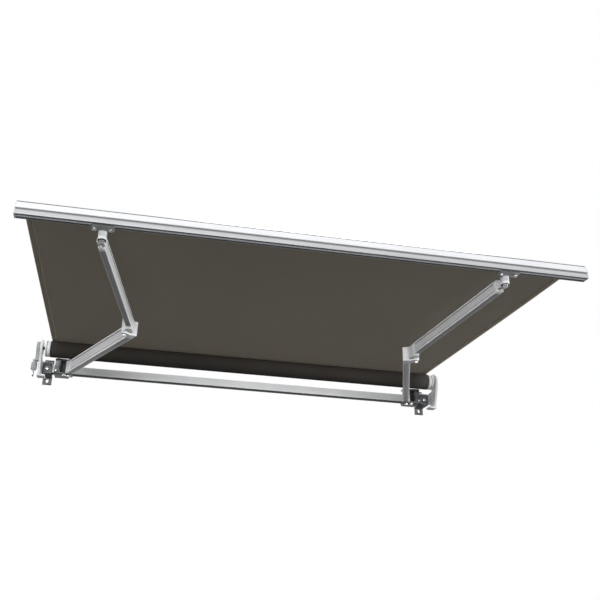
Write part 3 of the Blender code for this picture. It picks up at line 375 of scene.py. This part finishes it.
# Upper arms
# Extruded aluminium tubes, silver anodised, with raised lips along their edges. Each has a machined
# shoulder end and a square end with two lugs for the elbow pin.
def tube_axes(node):
    """Middle, long and upward directions and half height of a tube, from the spread of its corners."""
    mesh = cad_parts[node].data
    flat = np.empty(3 * len(mesh.vertices))
    mesh.vertices.foreach_get("co", flat)
    points = flat.reshape(-1, 3)
    middle = (points.min(axis=0) + points.max(axis=0)) / 2
    directions = np.linalg.eigh(np.cov((points - middle).T))[1].T
    up, along = directions[1], directions[2]
    half_height = np.abs((points - middle) @ up).max()
    return middle, along, up * np.sign(up[2]), half_height


# Across an arm's height: face, painted shadow line, painted highlight on the lip, painted shade top and
# bottom.
SILVER_FACE = (0.74, 0.745, 0.76)
SILVER_SHADOW_LINE = (0.16, 0.16, 0.165)
SILVER_LIP_HIGHLIGHT = (0.93, 0.935, 0.945)
SILVER_EDGE_SHADE = (0.34, 0.345, 0.355)
SILVER_BANDS = (
    (0.0, SILVER_FACE), (0.54, SILVER_FACE), (0.58, SILVER_SHADOW_LINE), (0.67, SILVER_SHADOW_LINE),
    (0.71, SILVER_LIP_HIGHLIGHT), (0.955, SILVER_LIP_HIGHLIGHT), (0.975, SILVER_EDGE_SHADE), (1.0, SILVER_EDGE_SHADE))


def anodised(name, node):
    """Extruded metal: painted lip highlights, a painted shadow line inside each lip, painted shade top and
    bottom, fine die lines.
    """
    middle, along, up, half_height = tube_axes(node)
    made, tree, shader, place = new_material(name, SILVER_FACE, roughness=0.34)
    shader.inputs["Specular IOR Level"].default_value = 0.25
    offset = tree.nodes.new("ShaderNodeVectorMath")
    offset.operation = "SUBTRACT"
    offset.inputs[1].default_value = middle
    tree.links.new(place, offset.inputs[0])
    level = tree.nodes.new("ShaderNodeVectorMath")
    level.operation = "DOT_PRODUCT"
    level.inputs[1].default_value = up / half_height
    tree.links.new(offset.outputs["Vector"], level.inputs[0])
    from_middle = calculate(tree, "ABSOLUTE", level.outputs["Value"])
    tree.links.new(ramp(tree, from_middle, SILVER_BANDS), shader.inputs["Base Color"])
    turn = (0, 0, -np.arctan2(along[1], along[0]))
    streaks = noise(tree, place, scale=60.0, detail=4.0, stretch=(0.03, 1, 1), turn=turn)
    darken(tree, shader, streaks, share=0.35)
    die_lines = noise(tree, place, scale=700.0, detail=2.0, stretch=(0.01, 1, 1), turn=turn)
    relief(tree, shader, die_lines, strength=0.10, distance=0.0003)
    return made


arm_casting = casting("arm_casting", (0.70, 0.705, 0.715), (0.82, 0.825, 0.835), 0.40)
for side in SIDES:
    tube = "upper_arm_tube_" + side
    dress(tube, anodised("upper_silver_" + side, tube))
    dress("upper_arm_shoulder_end_" + side, arm_casting, BROAD_EDGE)
    dress("upper_arm_elbow_fork_" + side, arm_casting, BROAD_EDGE)
    dress("elbow_pin_" + side, bright_zinc, BROAD_EDGE)

# Forearms
# The same kind of tube, slimmer, rising from the elbow to the front bar. A cast knuckle turns on the
# elbow pin and a cast end holds the wrist pin.
for side in SIDES:
    tube = "forearm_tube_" + side
    dress(tube, anodised("fore_silver_" + side, tube))
    dress("forearm_elbow_knuckle_" + side, arm_casting, BROAD_EDGE)
    dress("forearm_wrist_end_" + side, arm_casting, FINE_EDGE)

# Feet and wrists
# A cast foot is bolted into the slot under the front bar, and its light barrel stands on the wrist pin; the
# flange above the barrel is painted dark as shade under the bar. A bright metal cap with a black washer
# closes the pin from below, and the pin above the cap is painted near black as shadow.
FLANGE_LOW = 0.0475
CAP_TOP = 0.0160
WASHER_TOP = 0.0196
WRIST_WASHER_PROFILE = ((0.0136, 0.0), (0.0136, 0.0010), (0.0132, 0.0014), (0.0050, 0.0014))
for side in SIDES:
    foot_box = foot_low, foot_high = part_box("front_bar_foot_" + side)
    # Painted shade: the foot's flange, above the barrel, at a fifth of its colour.
    foot_painted_shade = (
        (foot_low[2], 1.0), (FLANGE_LOW, 1.0), (FLANGE_LOW + 0.0008, 0.20), (foot_high[2], 0.20))
    foot_coat = shade_painted_coat(
        "foot_coat_" + side, (0.50, 0.505, 0.515), (0.58, 0.585, 0.595), 0.4, foot_painted_shade,
        even(foot_box, "Y", 1.0), foot_low[2])
    dress("front_bar_foot_" + side, foot_coat, FINE_EDGE)
    dress("foot_bolt_a_" + side, bright_zinc, BROAD_EDGE)
    dress("foot_bolt_b_" + side, bright_zinc, BROAD_EDGE)
    pin_box = pin_low, pin_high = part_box("wrist_pin_" + side)
    # Painted shadow: the pin above its cap is painted near black.
    pin_painted_shadow = ((pin_low[2], 1.0), (CAP_TOP, 1.0), (CAP_TOP + 0.0003, 0.02), (pin_high[2], 0.02))
    pin_coat = shade_painted_coat(
        "pin_coat_" + side, (0.82, 0.82, 0.82), (0.88, 0.88, 0.88), 0.3, pin_painted_shadow,
        even(pin_box, "Y", 1.0), pin_low[2] + 0.0003)
    pin_coat.node_tree.nodes["Principled BSDF"].inputs["Metallic"].default_value = 1.0
    dress("wrist_pin_" + side, pin_coat, BROAD_EDGE)
    seat = ((pin_low[0] + pin_high[0]) / 2, (pin_low[1] + pin_high[1]) / 2, WASHER_TOP)
    wrist_washer = turned(
        "wrist_washer_" + side, seat, WRIST_WASHER_PROFILE, black_steel, downward=True)
    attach(wrist_washer, "forearm_" + side)

# Front bar
# An extruded aluminium profile in white powder coat with two fine grooves along its face, closed by
# a moulded cap at each end. The cloth's rod sits in a groove along its back.
bar_low, bar_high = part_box("front_bar_profile")
BAR_FRONT, BAR_LOW = bar_low[1:]
BAR_BACK, BAR_TOP = bar_high[1:]
GROOVE_LOW = 0.0705
GROOVE_HIGH = 0.1000
# Painted shadow in both grooves of the face, and the face below the lower groove painted a little darker.
face_painted_shade = (
    (BAR_LOW, 0.72), (BAR_LOW + 0.0012, 0.68),
    (GROOVE_LOW - 0.0065, 0.70), (GROOVE_LOW - 0.0020, 0.30),
    (GROOVE_LOW + 0.0020, 0.30), (GROOVE_LOW + 0.0065, 1.0),
    (GROOVE_HIGH - 0.0035, 1.0), (GROOVE_HIGH - 0.0016, 0.12),
    (GROOVE_HIGH + 0.0014, 0.12), (GROOVE_HIGH + 0.0030, 1.0), (BAR_TOP, 1.0))
# Painted shade across the underside, near black but for a ridge at full colour and the back at a third.
under_painted_shade = (
    (BAR_FRONT, 0.04), (BAR_FRONT + 0.0114, 0.04), (BAR_FRONT + 0.0122, 1.0),
    (BAR_FRONT + 0.0200, 1.0), (BAR_FRONT + 0.0208, 0.02),
    (BAR_BACK - 0.0085, 0.02), (BAR_BACK - 0.0065, 0.30), (BAR_BACK, 0.30))
white_coat = shade_painted_coat(
    "white_coat", (0.72, 0.73, 0.75), (0.77, 0.78, 0.80), 0.28, face_painted_shade, under_painted_shade,
    BAR_LOW + 0.0009)
cap_plastic = powder_coat("cap_plastic", (0.66, 0.67, 0.68), (0.72, 0.73, 0.74), 0.45)
rod_plastic = powder_coat("rod_plastic", (0.05, 0.05, 0.05), (0.07, 0.07, 0.07), 0.5)
dress("front_bar_profile", white_coat)
for side in SIDES:
    dress("front_bar_cap_" + side, cap_plastic)
dress("fabric_keder_rod", rod_plastic)

# Roller
# A steel tube with a light collar and a stub axle at each end, which turn in the roller brackets.
# The collar's ring has a painted shadow in a groove round it, and the axle beyond the ring is painted dark
# as shade.
RING_FROM = 0.9481
RING_TO = 0.9721
for side, sign in SIDES.items():
    collar_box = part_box("roller_collar_" + side)
    inner, outer = sorted(abs(corner[0]) for corner in collar_box)
    # Painted shade along the collar: a faint line at the ring's inner edge, the groove and the axle beyond.
    shares = (
        (inner, 1.0), (RING_FROM - 0.0006, 0.5), (RING_FROM + 0.0004, 1.0),
        (RING_TO - 0.0100, 1.0), (RING_TO - 0.0090, 0.12), (RING_TO - 0.0070, 0.12),
        (RING_TO - 0.0060, 1.0), (RING_TO, 1.0), (RING_TO + 0.0006, 0.10), (outer, 0.10))
    collar_coat = shade_painted_coat(
        "collar_coat_" + side, (0.62, 0.625, 0.635), (0.72, 0.725, 0.735), 0.35,
        sorted((sign * where, share) for where, share in shares), even(collar_box, "Y", 1.0),
        collar_box[0][2], "X")
    dress("roller_collar_" + side, collar_coat, BROAD_EDGE)
dress("roller_tube", bright_zinc)


# Cloth
# Dark brown spun acrylic, woven, in one sheet from the top of the roll to the front bar, with a
# welded hem along each side. It sags a few millimetres between the two.
def woven(name, low, high, glow=None):
    """Plain weave 0.9 mm from yarn to yarn, with the light that it lets through where glow is given."""
    made, tree, shader, place = new_material(name, high, roughness=0.85)
    yarn_pitch = 0.0009
    pitch_at_scale_one = 0.314
    heights = []
    for axis in ("X", "Y"):
        yarn = tree.nodes.new("ShaderNodeTexWave")
        yarn.bands_direction = axis
        yarn.inputs["Scale"].default_value = pitch_at_scale_one / yarn_pitch
        tree.links.new(place, yarn.inputs["Vector"])
        heights.append(yarn.outputs["Fac"])
    tint(tree, shader, noise(tree, place, scale=2.4, detail=6.0), low, high)
    relief(tree, shader, calculate(tree, "MULTIPLY", *heights), strength=0.25, distance=0.0002)
    shader.inputs["Specular IOR Level"].default_value = 0.15
    if glow:
        through = tree.nodes.new("ShaderNodeBsdfTranslucent")
        through.inputs["Color"].default_value = (*glow, 1)
        both = tree.nodes.new("ShaderNodeAddShader")
        tree.links.new(shader.outputs["BSDF"], both.inputs[0])
        tree.links.new(through.outputs["BSDF"], both.inputs[1])
        tree.links.new(both.outputs["Shader"], tree.nodes["Material Output"].inputs["Surface"])
    return made


def surface(name, points, material, thickness):
    """A grid of points as smooth faces, with half its thickness to either side."""
    rows, columns = points.shape[:2]
    faces = between(np.arange(rows * columns).reshape(rows, columns))
    piece = new_piece(name, points, faces, material)
    piece.data.shade_smooth()
    wall = piece.modifiers.new("wall", "SOLIDIFY")
    wall.thickness = thickness
    wall.offset = 0.0
    return piece


cloth_low, cloth_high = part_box("awning_fabric")
CLOTH_HALF = cloth_high[0]
CLOTH_FROM_Y = cloth_high[1]
CLOTH_END_Y = cloth_low[1]
CLOTH_TO_Y = BAR_BACK + 0.0004
CLOTH_Z = (cloth_low[2] + cloth_high[2]) / 2
CLOTH_THICKNESS = 0.0006
SAG = 0.0045
STIFFER_SIDES = 0.35


def hanging(u, v, lift=0.0):
    """Sheet over u and v. It dips by the sag times 27/4 times v squared times 1 - v, less at its sides."""
    dip = SAG * 6.75 * v ** 2 * (1 - v) * (1 - STIFFER_SIDES * (2 * u - 1) ** 4)
    return np.stack([
        CLOTH_HALF * (2 * u - 1), CLOTH_FROM_Y + (CLOTH_TO_Y - CLOTH_FROM_Y) * v, CLOTH_Z - dip + lift],
        axis=-1)


cloth_brown = woven("cloth_brown", (0.100, 0.093, 0.083), (0.113, 0.105, 0.094), (0.190, 0.178, 0.158))
# The hem is the same cloth, its colour painted lighter than the sheet's as painted light, for the light the
# sheet keeps from it.
hem_brown = woven("hem_brown", (0.160, 0.148, 0.132), (0.180, 0.168, 0.150), (0.500, 0.470, 0.420))
down_cloth = np.linspace(0, 1, 81)
cloth = surface(
    "cloth", hanging(*np.meshgrid(np.linspace(0, 1, 97), down_cloth)), cloth_brown, CLOTH_THICKNESS)
HEM_SHARE = 0.022 / (2 * CLOTH_HALF)
HEM_THICKNESS = 0.0003
HEM_DROP = 0.00048
hems = []
for side, first in (("left", 0.0), ("right", 1.0 - HEM_SHARE)):
    across, along = np.meshgrid(first + np.linspace(0, HEM_SHARE, 7), down_cloth)
    hems.append(surface("side_hem_" + side, hanging(across, along, -HEM_DROP), hem_brown, HEM_THICKNESS))
for piece in (cloth, *hems):
    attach(piece, "base")
    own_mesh(piece)
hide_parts("awning_fabric")

# Edge of the cloth in the front bar
# The last few millimetres of the same sheet lie in the groove along the bar's back, so this strip
# goes along with the bar.
EDGE_GAP = 0.0002
across, along = np.meshgrid(
    np.linspace(-CLOTH_HALF, CLOTH_HALF, 41), (CLOTH_TO_Y - EDGE_GAP, CLOTH_END_Y))
cloth_edge = surface(
    "cloth_edge", np.stack([across, along, np.full_like(along, CLOTH_Z)], axis=-1), cloth_brown,
    CLOTH_THICKNESS)
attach(cloth_edge, "front_bar")

# Wound cloth
# The rest of the cloth lies on the roller tube in eleven turns, and its ends show as a spiral. It is
# painted far darker than the sheet, as painted shade.
roll_low, roll_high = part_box("fabric_roll")
ROLL_Y = (roll_low[1] + roll_high[1]) / 2
ROLL_Z = (roll_low[2] + roll_high[2]) / 2
FIRST_RADIUS = 0.0304
LAST_RADIUS = (roll_high[2] - roll_low[2]) / 2 - 0.0004
TURNS = 11
STEPS_PER_TURN = 64


def wound(u, v):
    """Spiral over v, from the tube outwards and ending at the top, drawn out along X over u."""
    angle = pi / 2 - 2 * pi * TURNS * (1 - v)
    radius = LAST_RADIUS - (LAST_RADIUS - FIRST_RADIUS) * (1 - v)
    return np.stack([
        CLOTH_HALF * (2 * u - 1), ROLL_Y + radius * np.cos(angle), ROLL_Z + radius * np.sin(angle)], axis=-1)


across, along = np.meshgrid(np.linspace(0, 1, 25), np.linspace(0, 1, STEPS_PER_TURN * TURNS + 1))
# Painted shade: the wound cloth is coloured about a third as bright as the sheet.
wound_shade_brown = woven("wound_shade_brown", (0.026, 0.023, 0.020), (0.033, 0.029, 0.026))
wound_cloth = surface("wound_cloth", wound(across, along), wound_shade_brown, thickness=0.0007)
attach(wound_cloth, "roller")
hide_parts("fabric_roll")

# Crank gear
# A bevel gear in a moulded grey housing on the left bracket. The eye below it takes the hook of the
# crank handle.
gear_plastic = powder_coat("gear_plastic", (0.30, 0.31, 0.32), (0.36, 0.37, 0.38), 0.5)
dress("crank_gear_housing", gear_plastic, FINE_EDGE)
dress("crank_eye", bright_zinc)

# Floor, light and background
# A pale floor lies well below the awning, and large soft lamps stand around it. The sky is white
# where the camera, a mirror or glass sees it.
FLOOR_HALF = 9
FLOOR_Z = -2.6
floor_corners = np.array([[-1, -1, 0], [1, -1, 0], [1, 1, 0], [-1, 1, 0]]) * FLOOR_HALF + (0, 0, FLOOR_Z)
floor_paint, tree, shader = new_material("floor_paint", (0.80, 0.80, 0.80), roughness=0.7)[:3]
seen_paint = (0.80, 0.80, 0.80, 1)
unseen_paint = (0.08, 0.08, 0.08, 1)
rays = tree.nodes.new("ShaderNodeLightPath")
paint = blend(tree, rays.outputs["Is Camera Ray"], unseen_paint, seen_paint)
tree.links.new(paint, shader.inputs["Base Color"])
floor = new_piece("floor", floor_corners, [(0, 1, 2, 3)], floor_paint)


def lamp(name, place, aim, width, height, power):
    """A soft lamp that faces a point."""
    light = bpy.data.lights.new(name, "AREA")
    light.shape = "RECTANGLE"
    light.size = width
    light.size_y = height
    light.energy = power
    stand = bpy.data.objects.new(name, light)
    stand.location = place
    stand.rotation_mode = "QUATERNION"
    stand.rotation_quaternion = (Vector(aim) - Vector(place)).to_track_quat("-Z", "Y")
    bpy.context.scene.collection.objects.link(stand)


lamp("key", (-2.6, -4.8, 2.8), (0, -1.0, 0.0), width=3.0, height=2.0, power=60)
lamp("front", (-2.0, -8.6, -0.4), (0, -0.6, 0.0), width=7.0, height=1.0, power=390)
lamp("left", (-6.5, -1.8, -0.1), (0, -0.7, 0.0), width=3.0, height=0.8, power=90)
lamp("right", (6.5, -1.9, -0.2), (-0.2, -0.9, 0.0), width=3.0, height=0.8, power=420)
lamp("back", (1.6, 2.6, 3.8), (0, -0.8, 0.1), width=3.0, height=3.0, power=110)
world = bpy.data.worlds.new("sky")
bpy.context.scene.world = world
world.use_nodes = True
tree = world.node_tree
daylight = tree.nodes["Background"]
daylight.inputs["Strength"].default_value = 0.55
directions = tree.nodes.new("ShaderNodeTexCoord")
upward = tree.nodes.new("ShaderNodeSeparateXYZ")
tree.links.new(directions.outputs["Generated"], upward.inputs["Vector"])
sky = tree.nodes.new("ShaderNodeMapRange")
sky.inputs["From Min"].default_value = -0.6
sky.inputs["From Max"].default_value = 0.8
sky.inputs["To Min"].default_value = 0.08
sky.inputs["To Max"].default_value = 1.2
tree.links.new(upward.outputs["Z"], sky.inputs["Value"])
tree.links.new(sky.outputs["Result"], daylight.inputs["Color"])
white = tree.nodes.new("ShaderNodeBackground")
white.inputs["Color"].default_value = (1, 1, 1, 1)
white.inputs["Strength"].default_value = 1.0
rays = tree.nodes.new("ShaderNodeLightPath")
seen = rays.outputs["Is Camera Ray"]
for kind in ("Is Transmission Ray", "Is Glossy Ray"):
    seen = calculate(tree, "MAXIMUM", seen, rays.outputs[kind])
choose = tree.nodes.new("ShaderNodeMixShader")
tree.links.new(seen, choose.inputs["Fac"])
tree.links.new(daylight.outputs["Background"], choose.inputs[1])
tree.links.new(white.outputs["Background"], choose.inputs[2])
tree.links.new(choose.outputs["Shader"], tree.nodes["World Output"].inputs["Surface"])
bpy.context.scene.view_settings.view_transform = "Standard"
